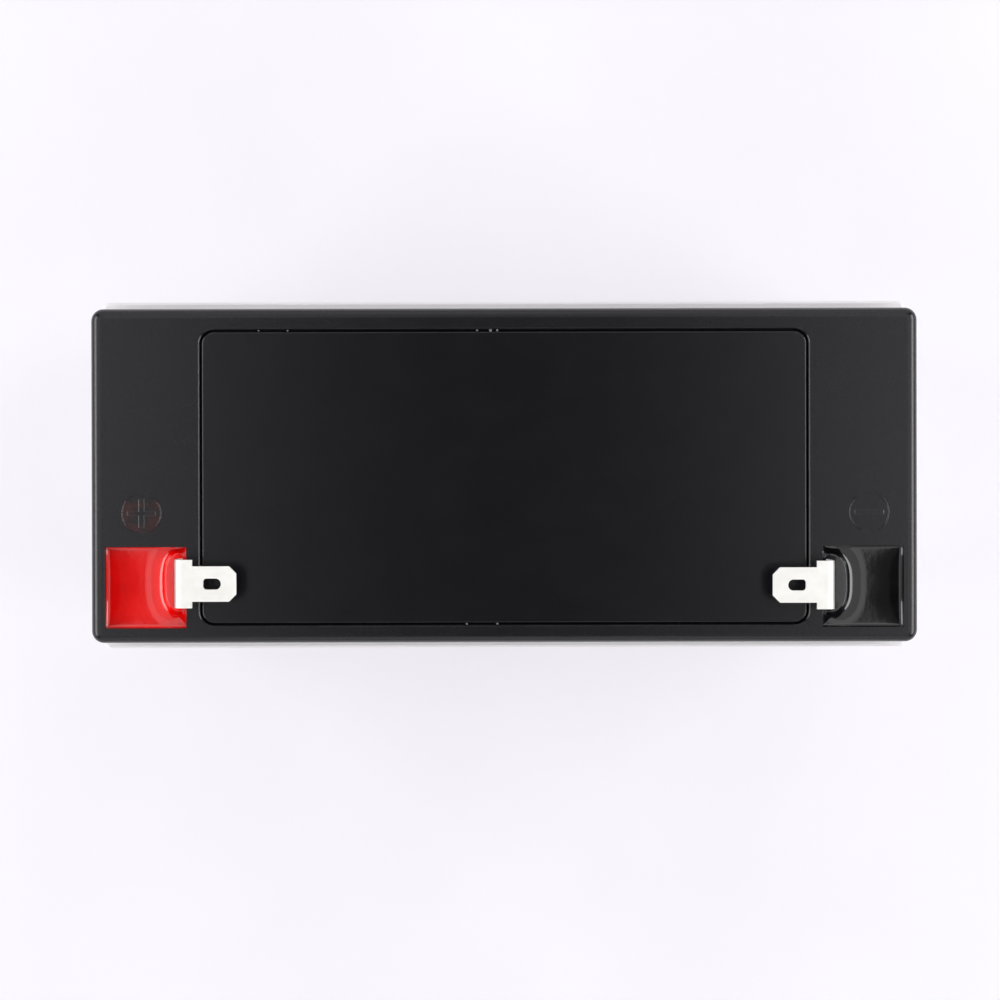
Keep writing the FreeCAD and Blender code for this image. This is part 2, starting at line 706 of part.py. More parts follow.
def make_separators(cell):
    """Glass mat folded in a U round each positive plate, open at the top."""
    label = f"separators_cell_{cell}"
    body = new_body(label)
    fold = new_sketch(body, label + "_fold", "XZ_Plane")
    middle = f"(-{(POSITIVE_PLATE_COUNT - 1) / 2} * {PLATE_PITCH})"
    inside = "(positive_thickness / 2)"
    outside = f"({inside} + {MAT_THICKNESS})"
    top = f"({PLATE_TOP} + mat_overhang)"
    polygon(fold, [
        (f"{middle} - {outside}", "base_thickness"),
        (f"{middle} + {outside}", "base_thickness"),
        (f"{middle} + {outside}", top),
        (f"{middle} + {inside}", top),
        (f"{middle} + {inside}", f"base_thickness + {MAT_THICKNESS}"),
        (f"{middle} - {inside}", f"base_thickness + {MAT_THICKNESS}"),
        (f"{middle} - {inside}", top),
        (f"{middle} - {outside}", top),
    ])
    sheet_pad = pad(body, fold, f"{CAVITY_WIDTH} - 2 * stack_clearance", midplane=True)
    row_of(body, sheet_pad, "X_Axis", POSITIVE_PLATE_COUNT, PLATE_PITCH)
    bind(body, "Placement.Base.x", cell_x(cell))
    doc.recompute()


def make_cell(cell):
    side = positive_side(cell)
    first_positive = f"(-{(POSITIVE_PLATE_COUNT - 1) / 2} * {PLATE_PITCH})"
    first_negative = f"(-{(NEGATIVE_PLATE_COUNT - 1) / 2} * {PLATE_PITCH})"
    make_plates(
        f"positive_plates_cell_{cell}", cell, side, "positive_thickness",
        f"(base_thickness + {MAT_THICKNESS})", first_positive, POSITIVE_PLATE_COUNT)
    make_plates(
        f"negative_plates_cell_{cell}", cell, -side, "negative_thickness",
        "base_thickness", first_negative, NEGATIVE_PLATE_COUNT)
    make_separators(cell)


# Resin in the wells

def make_seal(label, end, terminal, strap):
    """Resin cast round the terminal: hollow on top, with a low mound at the leg."""
    well = doc.addObject("Part::Box", label + "_well")
    bind(well, "Length", "well_size")
    bind(well, "Width", "well_size")
    bind(well, "Height", "well_depth - resin_sink")
    bind(well, "Placement.Base.x", f"{end} * {WELL_X} - well_size / 2")
    bind(well, "Placement.Base.y", f"{WELL_Y} - well_size / 2")
    bind(well, "Placement.Base.z", WELL_FLOOR_LEVEL)
    resin_level = f"({LID_TOP} - resin_sink - resin_bowl_depth)"
    bowl = doc.addObject("Part::Cone", label + "_bowl")
    bind(bowl, "Radius1", "resin_flat_radius")
    bind(bowl, "Radius2", "well_size / 2 * sqrt(2)")
    bind(bowl, "Height", "resin_bowl_depth")
    bind(bowl, "Placement.Base.x", f"{end} * {WELL_X}")
    bind(bowl, "Placement.Base.y", WELL_Y)
    bind(bowl, "Placement.Base.z", resin_level)
    hollowed = doc.addObject("Part::Cut", label + "_hollowed")
    hollowed.Base = well
    hollowed.Tool = bowl

    mound = doc.addObject("Part::Cone", label + "_mound")
    mound_centre = f"({LEG_BACK} - mound_reach + mound_radius)"
    bind(mound, "Radius1", "mound_radius + mound_slope")
    bind(mound, "Radius2", "mound_radius")
    bind(mound, "Height", "mound_height")
    bind(mound, "Placement.Base.x", f"{end} * ({WELL_X} - {mound_centre})")
    bind(mound, "Placement.Base.y", terminal_y(end))
    bind(mound, "Placement.Base.z", resin_level)
    joined = doc.addObject("Part::Fuse", label + "_joined")
    joined.Base = hollowed
    joined.Tool = mound
    trimmed = doc.addObject("Part::Common", label + "_trimmed")
    trimmed.Base = joined
    trimmed.Tool = well
    round_leg = doc.addObject("Part::Cut", label + "_round_leg")
    round_leg.Base = trimmed
    round_leg.Tool = terminal
    seal = doc.addObject("Part::Cut", label)
    seal.Label = label
    seal.Base = round_leg
    seal.Tool = strap
    doc.recompute()
    nodes.append(seal)


# Checks and output

def check_document():
    faulty = [item.Label for item in doc.Objects if {"Invalid", "Error"} & set(item.State)]
    if faulty:
        raise RuntimeError("failed to build: " + ", ".join(faulty))
    for node in nodes:
        if node.Shape.isNull() or not node.Shape.isValid() or not node.Shape.Solids:
            raise RuntimeError("bad shape: " + node.Label)


def write_parts():
    os.makedirs("parts", exist_ok=True)
    for node in nodes:
        node.Shape.exportStep(f"parts/{node.Label}.step")


fill_sheet()
make_container()
make_lid()
make_vent_plate()
for cap in range(1, CELL_COUNT + 1):
    make_valve_cap(cap)
positive_terminal = make_terminal("positive_terminal", POSITIVE_END)
negative_terminal = make_terminal("negative_terminal", NEGATIVE_END)
positive_strap = make_end_strap("positive_end_strap", 1, POSITIVE_END)
negative_strap = make_end_strap("negative_end_strap", CELL_COUNT, NEGATIVE_END)
for left_cell in range(1, CELL_COUNT):
    make_cell_bridge(left_cell)
for each_cell in range(1, CELL_COUNT + 1):
    make_cell(each_cell)
make_seal("positive_terminal_seal", POSITIVE_END, positive_terminal, positive_strap)
make_seal("negative_terminal_seal", NEGATIVE_END, negative_terminal, negative_strap)
doc.recompute()
check_document()
write_parts()
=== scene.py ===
import math
import random

import bmesh
import bpy
import numpy
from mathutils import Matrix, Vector


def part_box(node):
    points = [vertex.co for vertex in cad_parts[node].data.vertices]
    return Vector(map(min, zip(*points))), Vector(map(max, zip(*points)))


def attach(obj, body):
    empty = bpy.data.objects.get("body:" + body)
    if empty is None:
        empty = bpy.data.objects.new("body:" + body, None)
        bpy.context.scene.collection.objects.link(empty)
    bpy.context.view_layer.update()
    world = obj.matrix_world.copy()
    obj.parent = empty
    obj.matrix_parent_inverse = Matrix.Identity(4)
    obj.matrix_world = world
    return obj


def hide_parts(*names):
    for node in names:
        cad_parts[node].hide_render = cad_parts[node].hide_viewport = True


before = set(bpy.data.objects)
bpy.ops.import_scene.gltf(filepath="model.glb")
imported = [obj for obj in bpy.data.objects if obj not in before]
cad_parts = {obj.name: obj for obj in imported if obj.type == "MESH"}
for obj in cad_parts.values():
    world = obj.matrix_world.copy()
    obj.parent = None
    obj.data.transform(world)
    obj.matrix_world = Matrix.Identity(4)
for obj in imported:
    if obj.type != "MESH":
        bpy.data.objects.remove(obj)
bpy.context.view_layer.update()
random.seed(7)

# Sizes of added pieces are in millimetres and are turned into metres with MM. DECK is in metres.
MM = 0.001
DECK = 0.094
LEFT = -1
RIGHT = 1


# Materials

HAZE_CONTRAST = 0.08
GLOSS_SPREAD = 0.012
GRAIN_SPREAD = 0.03
# Painted shade on the tabs: where the dark band at the bend starts and ends, in millimetres out from the
# middle.
BEND_SHADE_START = 58.6
BEND_SHADE_END = 60.0


def srgb(red, green, blue):
    """A linear colour from three numbers between 0 and 255."""
    linear = []
    for number in (red, green, blue):
        share = number / 255
        linear.append(share / 12.92 if share <= 0.04045 else ((share + 0.055) / 1.055) ** 2.4)
    return (*linear, 1.0)


class Recipe:
    """A node material, with short calls for the nodes that it is made of."""

    def __init__(self, name, **sockets):
        self.material = bpy.data.materials.new(name)
        self.material.use_nodes = True
        self.tree = self.material.node_tree
        self.tree.nodes.clear()
        output = self.tree.nodes.new("ShaderNodeOutputMaterial")
        self.shader = self.tree.nodes.new("ShaderNodeBsdfPrincipled")
        self.tree.links.new(self.shader.outputs[0], output.inputs[0])
        self.place = self.tree.nodes.new("ShaderNodeTexCoord").outputs["Object"]
        for socket, number in sockets.items():
            self.shader.inputs[socket.replace("_", " ")].default_value = number

    def link(self, source, target):
        self.tree.links.new(source, target)

    def set(self, socket, source):
        self.link(source, self.shader.inputs[socket])

    def stretched(self, size):
        """Coordinates in which one unit is size millimetres, along each axis."""
        mapping = self.tree.nodes.new("ShaderNodeMapping")
        mapping.inputs["Scale"].default_value = [1 / (axis * MM) for axis in size]
        self.link(self.place, mapping.inputs["Vector"])
        return mapping.outputs[0]

    def noise(self, size, detail=3.0, roughness=0.5, distortion=0.0):
        node = self.tree.nodes.new("ShaderNodeTexNoise")
        node.inputs["Scale"].default_value = 1.0
        node.inputs["Detail"].default_value = detail
        node.inputs["Roughness"].default_value = roughness
        node.inputs["Distortion"].default_value = distortion
        self.link(self.stretched(size), node.inputs["Vector"])
        return node.outputs["Fac"]

    def cells(self, size):
        node = self.tree.nodes.new("ShaderNodeTexVoronoi")
        node.inputs["Scale"].default_value = 1.0
        self.link(self.stretched(size), node.inputs["Vector"])
        return node.outputs["Distance"]

    def ramp(self, source, low, high, bottom=0.3, top=0.7):
        """A colour from low to high while the source goes from bottom to top."""
        node = self.tree.nodes.new("ShaderNodeValToRGB")
        first, last = node.color_ramp.elements
        first.position, first.color = bottom, low
        last.position, last.color = top, high
        self.link(source, node.inputs[0])
        return node.outputs[0]

    def span(self, source, low, high, bottom=0.3, top=0.7):
        """A number from low to high while the source goes from bottom to top."""
        node = self.tree.nodes.new("ShaderNodeMapRange")
        numbers = {"From Min": bottom, "From Max": top, "To Min": low, "To Max": high}
        for socket, number in numbers.items():
            node.inputs[socket].default_value = number
        self.link(source, node.inputs["Value"])
        return node.outputs[0]

    def combined(self, operation, first, second):
        """The result of one operation of the Math node on two outputs or numbers."""
        node = self.tree.nodes.new("ShaderNodeMath")
        node.operation = operation
        for socket, item in zip(node.inputs, (first, second)):
            if isinstance(item, (int, float)):
                socket.default_value = item
            else:
                self.link(item, socket)
        return node.outputs[0]

    def mixed(self, share, first, second):
        """The first colour, with that share of the second in it."""
        node = self.tree.nodes.new("ShaderNodeMix")
        node.data_type = "RGBA"
        if isinstance(share, (int, float)):
            node.inputs["Factor"].default_value = share
        else:
            self.link(share, node.inputs["Factor"])
        for name, item in (("A", first), ("B", second)):
            socket = [s for s in node.inputs if s.name == name and s.type == "RGBA"][0]
            if isinstance(item, tuple):
                socket.default_value = item
            else:
                self.link(item, socket)
        return [s for s in node.outputs if s.type == "RGBA"][0]

    def bump(self, height, depth):
        """Relief of that depth in millimetres. A second call adds to the first."""
        node = self.tree.nodes.new("ShaderNodeBump")
        node.inputs["Distance"].default_value = depth * MM
        normal = self.shader.inputs["Normal"]
        if normal.links:
            self.link(normal.links[0].from_socket, node.inputs["Normal"])
        self.link(height, node.inputs["Height"])
        self.link(node.outputs[0], normal)


def moulded_black(name, tone, gloss, red_reflection_colour=None):
    """Black ABS with the fine flow lines of the mould, and paler haze in patches. A dark red colour, if
    given, is laid over it in patches as a painted reflection of the red resin.
    """
    recipe = Recipe(name, Specular_IOR_Level=0.5)
    haze = recipe.noise((8, 5, 8), detail=6, roughness=0.6)
    grain = recipe.noise((0.4, 0.2, 0.4), detail=3, roughness=0.7)
    lines = recipe.noise((5, 0.3, 5), detail=5, roughness=0.65)
    dark = srgb(*[channel * (1 - HAZE_CONTRAST) for channel in tone])
    pale = srgb(*[channel * (1 + HAZE_CONTRAST) for channel in tone])
    colour = recipe.ramp(haze, dark, pale)
    colour = recipe.mixed(0.35, colour, recipe.ramp(lines, dark, pale, 0.35, 0.65))
    # Painted reflection: dark red patches that stand for the red resin's colour reflected in the black.
    if red_reflection_colour:
        red_reflection_patches = recipe.noise((3.2, 2.2, 3.2), detail=4)
        colour = recipe.mixed(recipe.span(red_reflection_patches, 0, 0.8, 0.42, 0.68), colour, red_reflection_colour)
    recipe.set("Base Color", colour)
    patches = recipe.span(haze, gloss - GLOSS_SPREAD, gloss + GLOSS_SPREAD)
    recipe.set("Roughness", recipe.combined("ADD", patches, recipe.span(grain, -GRAIN_SPREAD, GRAIN_SPREAD)))
    recipe.bump(lines, 0.02)
    recipe.bump(grain, 0.012)
    return recipe.material


def pale_plastic():
    """Off-white ABS with a faint haze."""
    recipe = Recipe("pale_abs", Specular_IOR_Level=0.5)
    haze = recipe.noise((22, 22, 30), detail=4)
    grain = recipe.noise((0.4, 0.4, 0.4), detail=3, roughness=0.6)
    recipe.set("Base Color", recipe.ramp(haze, srgb(240, 237, 240), srgb(245, 242, 246)))
    recipe.set("Roughness", recipe.span(haze, 0.38, 0.48))
    recipe.bump(grain, 0.008)
    return recipe.material


def tinned():
    """Dull tin with streaks along the strip. Painted shade darkens it from 58.6 mm out from the middle to
    the bend, where the strip curves down.
    """
    recipe = Recipe("tinned_brass", Metallic=0.3)
    streaks = recipe.noise((3.0, 0.12, 0.12), detail=4, roughness=0.6)
    bloom = recipe.noise((2.2, 1.6, 2.2), detail=4)
    axes = recipe.tree.nodes.new("ShaderNodeSeparateXYZ")
    recipe.link(recipe.place, axes.inputs[0])
    # Painted shade: the tin turns dark where the strip bends down, as shade would fall there.
    outwards = recipe.combined("ABSOLUTE", axes.outputs["X"], 0)
    bend_shade = recipe.span(outwards, 0, 1, BEND_SHADE_START * MM, BEND_SHADE_END * MM)
    plain = recipe.ramp(bloom, srgb(248, 246, 241), srgb(254, 252, 249))
    recipe.set("Base Color", recipe.mixed(bend_shade, plain, srgb(98, 90, 84)))
    sheen = recipe.span(bloom, 0.4, 0.5)
    recipe.set("Roughness", recipe.combined("ADD", sheen, recipe.span(streaks, -0.03, 0.03)))
    recipe.bump(streaks, 0.004)
    return recipe.material


def resin(name, low, high, gloss):
    """Cast epoxy with a clear skin, slow swirls and small dimples."""
    recipe = Recipe(name, Specular_IOR_Level=0.5, Coat_Weight=0.3, Coat_Roughness=0.04)
    swirl = recipe.noise((4.5, 3.5, 4.5), detail=4, distortion=0.6)
    dimples = recipe.noise((0.9, 0.9, 0.9), detail=3)
    recipe.set("Base Color", recipe.ramp(swirl, low, high))
    recipe.set("Roughness", recipe.span(swirl, gloss, gloss + 0.05))
    recipe.bump(dimples, 0.008)
    return recipe.material


def rubber():
    """Matt black rubber, dusty in spots."""
    recipe = Recipe("black_rubber", Specular_IOR_Level=0.4)
    dust = recipe.noise((1.5, 1.5, 1.5), detail=5, roughness=0.6)
    recipe.set("Base Color", recipe.ramp(dust, srgb(20, 20, 21), srgb(34, 33, 34)))
    recipe.set("Roughness", recipe.span(dust, 0.62, 0.8))
    recipe.bump(dust, 0.03)
    return recipe.material


def lead():
    """Dull cast lead with a coarse grain."""
    recipe = Recipe("cast_lead", Metallic=0.8)
    bloom = recipe.noise((3, 3, 3), detail=5, roughness=0.6)
    grain = recipe.cells((0.5, 0.5, 0.5))
    recipe.set("Base Color", recipe.ramp(bloom, srgb(96, 98, 104), srgb(142, 144, 150)))
    recipe.set("Roughness", recipe.span(bloom, 0.4, 0.65))
    recipe.bump(grain, 0.03)
    recipe.bump(bloom, 0.05)
    return recipe.material


def paste(name, low, high):
    """The porous paste of a plate."""
    recipe = Recipe(name, Specular_IOR_Level=0.2)
    pores = recipe.noise((0.3, 0.3, 0.3), detail=5, roughness=0.7)
    patches = recipe.noise((7, 7, 7), detail=4)
    colour = recipe.mixed(0.4, recipe.ramp(patches, low, high), recipe.ramp(pores, low, high))
    recipe.set("Base Color", colour)
    recipe.set("Roughness", recipe.span(pores, 0.85, 0.95))
    recipe.bump(pores, 0.06)
    return recipe.material


def glass_mat():
    """White felt of glass fibres."""
    recipe = Recipe("glass_mat", Specular_IOR_Level=0.2, Sheen_Weight=0.2)
    fibres = recipe.noise((0.08, 1.6, 0.3), detail=5, roughness=0.7, distortion=1.2)
    felt = recipe.noise((2, 2, 2), detail=4)
    recipe.set("Base Color", recipe.ramp(fibres, srgb(214, 214, 210), srgb(240, 240, 238)))
    recipe.set("Roughness", recipe.span(felt, 0.85, 0.95))
    recipe.bump(fibres, 0.05)
    return recipe.material


def pale_dust():
    """Grey crumbs of dust."""
    recipe = Recipe("pale_dust", Specular_IOR_Level=0.2)
    clumps = recipe.noise((0.15, 0.15, 0.15), detail=3)
    recipe.set("Base Color", recipe.ramp(clumps, srgb(84, 82, 86), srgb(140, 138, 142)))
    recipe.set("Roughness", recipe.span(clumps, 0.8, 0.95))
    return recipe.material


LID_TONE = (14, 12.5, 18)
LID_GLOSS = 0.25

LID_BLACK = moulded_black("lid_black_abs", LID_TONE, LID_GLOSS)
PLATE_BLACK = moulded_black("plate_black_abs", (5.5, 4.5, 10), 0.225)
# Black with a painted reflection of the red resin, for the disc under the plus.
RED_REFLECTION_BLACK = moulded_black("red_reflection_black_abs", LID_TONE, LID_GLOSS, red_reflection_colour=srgb(58, 18, 19))
DUST = pale_dust()
PALE = pale_plastic()
TIN = tinned()
RED = resin("red_epoxy", srgb(238, 3, 2), srgb(247, 6, 5), 0.07)
BLACK_EPOXY = resin("black_epoxy", srgb(8, 8, 10), srgb(13, 13, 16), 0.08)
RUBBER = rubber()
LEAD = lead()
BROWN_PASTE = paste("brown_paste", srgb(52, 34, 28), srgb(78, 54, 44))
GREY_PASTE = paste("grey_paste", srgb(84, 86, 90), srgb(118, 120, 124))
MAT = glass_mat()

# A seal's name starts with its terminal's name, so the seals come first.
FINISHES = {
    "container": PALE,
    "lid": LID_BLACK,
    "vent_plate": PLATE_BLACK,
    "valve_cap": RUBBER,
    "positive_terminal_seal": RED,
    "negative_terminal_seal": BLACK_EPOXY,
    "positive_terminal": TIN,
    "negative_terminal": TIN,
    "positive_end_strap": LEAD,
    "negative_end_strap": LEAD,
    "cell_bridge": LEAD,
    "positive_plates": BROWN_PASTE,
    "negative_plates": GREY_PASTE,
    "separators": MAT,
}


def dress(node):
    """Give a CAD node the finish whose name its own name starts with."""
    finish = [name for name in FINISHES if node.startswith(name)][0]
    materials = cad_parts[node].data.materials
    materials.clear()
    materials.append(FINISHES[finish])


for node_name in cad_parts:
    dress(node_name)


# Resin in the wells

RESIN_POINTS = 149
POOL_DEPTH = 2.2
BLUR_PASSES = 4
RESIN_SHARP_ANGLE = 50

# The film of the bowl
BOWL_RISE = 0.4
BOWL_REACH = 2.2
BOWL_PASSES = 1500

# The narrow meniscus at the walls, and the wider one on the wall beside the leg
CREEP_SLOPE = 0.6
CREEP_WIDTH = 0.5
LEG_CREEP_SLOPE = 0.45
LEG_CREEP_WIDTH = 2.0
LEG_CREEP_LENGTH = 2.4

# The island round the terminal's leg. Its rim reaches further in the black well. LEG_BACK is the
# leg's place along X, from the middle of the battery.
ISLAND_DEPTH = 0.5
ISLAND_CROWN = 0.02
ISLAND_END = 0.95
ISLAND_INNER_REACH = 1.6
ISLAND_ACROSS_POWER = 2.4
ISLAND_ALONG_POWER = 2.8
ISLAND_OUTLINE_POINTS = 721
RED_RIM_REACH = 2.35
BLACK_RIM_REACH = 2.95
LEG_BACK = 59.5
LEG_HALF_WIDTH = 4.35

# The slope from the island's rim to the pool: a steep step within a long hollow skirt
SKIRT_WIDTH = 4.2
STEP_WIDTH = 0.75
STEP_SHARE = 0.25


def blurred(field, passes):
    """The field after a small round blur, with its outer rows held."""
    for _ in range(passes):
        sides = field[:-2, 1:-1] + field[2:, 1:-1] + field[1:-1, :-2] + field[1:-1, 2:]
        corners = field[:-2, :-2] + field[:-2, 2:] + field[2:, :-2] + field[2:, 2:]
        inner = (field[1:-1, 1:-1] * 4 + sides * 2 + corners) / 16
        field = field.copy()
        field[1:-1, 1:-1] = inner
    return field


def bowl_height(walls, step):
    """A film BOWL_RISE high at the walls that sinks to almost nothing over a few BOWL_REACH."""
    height = numpy.where(walls, BOWL_RISE, 0.0)
    pull = (step / BOWL_REACH) ** 2
    for _ in range(BOWL_PASSES):
        around = height[:-2, 1:-1] + height[2:, 1:-1] + height[1:-1, :-2] + height[1:-1, 2:]
        height[1:-1, 1:-1] = around / (4 + pull)
    return height


def island_outline(leg_u, leg_v, rim_reach):
    """Points on the island's edge: rim_reach from the leg in the pool, ISLAND_INNER_REACH behind it."""
    turn = numpy.linspace(0, 2 * numpy.pi, ISLAND_OUTLINE_POINTS)
    across, along = numpy.cos(turn), numpy.sin(turn)
    reach = numpy.where(across > 0, rim_reach, ISLAND_INNER_REACH)
    across_share = numpy.sign(across) * numpy.abs(across) ** (2 / ISLAND_ACROSS_POWER)
    along_share = numpy.sign(along) * numpy.abs(along) ** (2 / ISLAND_ALONG_POWER)
    edge_u = leg_u - reach * across_share
    edge_v = leg_v + (LEG_HALF_WIDTH + ISLAND_END) * along_share
    return zip(edge_u, edge_v)


def fall(distance, width, power):
    """One at no distance, falling to none at that width."""
    return numpy.clip(1 - distance / width, 0, 1) ** power


def resin_depths(half, leg_u, leg_v, rim_reach):
    """The grid's lines, and the depth under the deck at each of its points, in millimetres.

    u runs to the leg's side and v to the back. The pool is a shallow bowl with a narrow meniscus
    along its walls, wider beside the leg. A low island with a crisp edge and a hollow skirt lies
    round the leg.
    """
    line = numpy.linspace(-half, half, RESIN_POINTS)
    u, v = numpy.meshgrid(line, line, indexing="ij")
    walls = numpy.zeros(u.shape, bool)
    walls[0, :] = walls[-1, :] = walls[:, 0] = walls[:, -1] = True
    pool = bowl_height(walls, line[1] - line[0])
    past_leg = numpy.abs(v - leg_v) - LEG_HALF_WIDTH - ISLAND_END
    width = CREEP_WIDTH + LEG_CREEP_WIDTH * fall(past_leg, LEG_CREEP_LENGTH, 1)
    creep = LEG_CREEP_SLOPE * width * fall(half - u, width, 2)
    for distance in (half + u, half + v, half - v):
        creep = numpy.maximum(creep, CREEP_SLOPE * CREEP_WIDTH * fall(distance, CREEP_WIDTH, 2))
    pool += creep
    gap = numpy.full(u.shape, numpy.inf)
    for edge_u, edge_v in island_outline(leg_u, leg_v, rim_reach):
        gap = numpy.minimum(gap, numpy.hypot(u - edge_u, v - edge_v))
    across = (leg_u - u) / numpy.where(u < leg_u, rim_reach, ISLAND_INNER_REACH)
    along = (v - leg_v) / (LEG_HALF_WIDTH + ISLAND_END)
    spread = numpy.abs(across) ** ISLAND_ACROSS_POWER + numpy.abs(along) ** ISLAND_ALONG_POWER
    height = POOL_DEPTH - ISLAND_DEPTH
    skirt = (1 - STEP_SHARE) * fall(gap, SKIRT_WIDTH, 3) + STEP_SHARE * fall(gap, STEP_WIDTH, 2)
    lift = numpy.where(spread < 1, height + ISLAND_CROWN * gap, height * skirt)
    return line, blurred(POOL_DEPTH - pool - lift * (1 - pool / height), BLUR_PASSES)


def settle(item):
    """Turn an object's modifiers into its own mesh."""
    graph = bpy.context.evaluated_depsgraph_get()
    mesh = bpy.data.meshes.new_from_object(item.evaluated_get(graph))
    item.modifiers.clear()
    item.data = mesh


def new_piece(name, mesh, material):
    item = bpy.data.objects.new(name, mesh)
    bpy.context.scene.collection.objects.link(item)
    mesh.materials.clear()
    mesh.materials.append(material)
    return item


def smooth(mesh, sharp_angle):
    """Smooth shading, apart from edges that bend by more than sharp_angle degrees."""
    mesh.polygons.foreach_set("use_smooth", [True] * len(mesh.polygons))
    mesh.set_sharp_from_angle(angle=math.radians(sharp_angle))


def cut_away(item, *nodes):
    """Cut CAD nodes out of an object."""
    for node in nodes:
        cutter = item.modifiers.new("round_" + node, "BOOLEAN")
        cutter.operation = "DIFFERENCE"
        cutter.solver = "EXACT"
        cutter.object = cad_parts[node]
    settle(item)


def block_mesh(name, surface, bottom):
    """A closed block under a square grid of points, down to a flat bottom."""
    count = RESIN_POINTS
    faces = []
    for i in range(count - 1):
        for j in range(count - 1):
            here, beyond = i * count + j, (i + 1) * count + j
            faces.append((here, beyond, beyond + 1, here + 1))
    rim = [i * count for i in range(count)]
    rim += [(count - 1) * count + j for j in range(1, count)]
    rim += [i * count + count - 1 for i in range(count - 2, -1, -1)]
    rim += [j for j in range(count - 2, 0, -1)]
    first = len(surface)
    total = len(rim)
    for k in range(total):
        following = (k + 1) % total
        faces.append((rim[following], rim[k], first + k, first + following))
    faces.append(tuple(first + k for k in range(total - 1, -1, -1)))
    foot = [(surface[k][0], surface[k][1], bottom) for k in rim]
    mesh = bpy.data.meshes.new(name)
    mesh.from_pydata(surface + foot, [], faces)
    shape = bmesh.new()
    shape.from_mesh(mesh)
    bmesh.ops.recalc_face_normals(shape, faces=shape.faces)
    shape.to_mesh(mesh)
    shape.free()
    return mesh


def make_resin(sign, side, rim_reach, material):
    """Cast resin in one well, in place of the CAD seal and cut to the leg and the post."""
    seal = sign + "_terminal_seal"
    low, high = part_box(seal)
    tab_low, tab_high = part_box(sign + "_terminal")
    half = (high[0] - low[0]) / 2 / MM
    middle_x = (high[0] + low[0]) / 2
    middle_y = (high[1] + low[1]) / 2
    leg_u = abs(middle_x) / MM - LEG_BACK
    leg_v = ((tab_high[1] + tab_low[1]) / 2 - middle_y) / MM
    line, depth = resin_depths(half, leg_u, leg_v, rim_reach)
    surface = []
    for i in range(RESIN_POINTS):
        for j in range(RESIN_POINTS):
            x, y = middle_x - side * line[i] * MM, middle_y + line[j] * MM
            surface.append((x, y, DECK - depth[i, j] * MM))
    item = new_piece(sign + "_resin", block_mesh(sign + "_resin", surface, low[2]), material)
    cut_away(item, sign + "_terminal", sign + "_end_strap")
    item.data.materials.clear()
    item.data.materials.append(material)
    smooth(item.data, RESIN_SHARP_ANGLE)
    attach(item, "root")
    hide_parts(seal)


make_resin("positive", LEFT, RED_RIM_REACH, RED)
make_resin("negative", RIGHT, BLACK_RIM_REACH, BLACK_EPOXY)


# Polarity marks

RELIEF = 0.12
ROOT = 0.02
CHAMFER = 0.2
MARK_SHARP_ANGLE = 25
RING_WIDTH = 0.34
RING_STEPS = 120
RING_SIDES = 8
DISC_POINTS = 72
PLUS_CENTRE = (-66.13, -6.8)
PLUS_RING_RADIUS = 3.52
MINUS_CENTRE = (66.5, -6.8)
MINUS_RING_RADIUS = 3.55
# The thin disc under the plus that carries the painted reflection of the red resin.
RED_REFLECTION_RADIUS = 3.45
RED_REFLECTION_HEIGHT = 0.02
RED_REFLECTION_CHAMFER = 0.01


def ride_with_lid(item):
    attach(item, "root")


def add_ring(shape, centre, radius, fade):
    """A rounded ridge in a circle on the deck. fade(turn) is the share of its height that is lost."""
    rows = []
    for k in range(RING_STEPS):
        turn = 2 * math.pi * k / RING_STEPS
        tall = RELIEF * (1 - fade(turn))
        row = []
        for side in range(RING_SIDES + 1):
            share = 2 * side / RING_SIDES - 1
            reach = radius + share * RING_WIDTH / 2
            x, y = centre[0] + reach * math.cos(turn), centre[1] + reach * math.sin(turn)
            level = -ROOT + (tall + ROOT) * (1 - share ** 2)
            row.append(shape.verts.new((x * MM, y * MM, DECK + level * MM)))
        rows.append(row)
    for k in range(RING_STEPS):
        here, following = rows[k], rows[(k + 1) % RING_STEPS]
        for side in range(RING_SIDES):
            shape.faces.new((here[side], here[side + 1], following[side + 1], following[side]))
        shape.faces.new((here[RING_SIDES], here[0], following[0], following[RING_SIDES]))


def add_slab(shape, centre, outline, height=RELIEF, chamfer=CHAMFER):
    """A raised flat form with sloping sides. outline(inset) gives its points, drawn in so far."""
    rings = []
    for level, inset in ((-ROOT, 0.0), (height, chamfer)):
        ring = []
        for x, y in outline(inset):
            ring.append(shape.verts.new(((centre[0] + x) * MM, (centre[1] + y) * MM, DECK + level * MM)))
        rings.append(ring)
    lower, upper = rings
    shape.faces.new(lower[::-1])
    shape.faces.new(upper)
    count = len(lower)
    for k in range(count):
        following = (k + 1) % count
        shape.faces.new((lower[k], lower[following], upper[following], upper[k]))


def bar(length, width, inset):
    """The outline of a bar, drawn in by inset."""
    x, y = length / 2 - inset, width / 2 - inset
    return [(-x, -y), (x, -y), (x, y), (-x, y)]


def cross(length, width, height, stem, inset):
    """A plus sign: the bar is length by width and the upright is height by stem."""
    x, y = length / 2 - inset, height / 2 - inset
    a, b = stem / 2 - inset, width / 2 - inset
    return [(-a, -y), (a, -y), (a, -b), (x, -b), (x, b), (a, b),
            (a, y), (-a, y), (-a, b), (-x, b), (-x, -b), (-a, -b)]


def disc(radius, inset):
    """A circle of points, drawn in by inset."""
    turns = [2 * math.pi * k / DISC_POINTS for k in range(DISC_POINTS)]
    return [((radius - inset) * math.cos(turn), (radius - inset) * math.sin(turn)) for turn in turns]


def near(turn, middle, spread):
    """One at an angle in degrees and none beyond its spread, for the places where a ridge is faint."""
    away = abs((math.degrees(turn) - middle + 180) % 360 - 180)
    return max(0.0, 1 - (away / spread) ** 2)


def plus_fade(turn):
    return 0.6 * near(turn, 80, 10) + 0.9 * near(turn, 262, 14)


def minus_fade(turn):
    return 0.95 * near(turn, 106, 20) + near(turn, 272, 24)


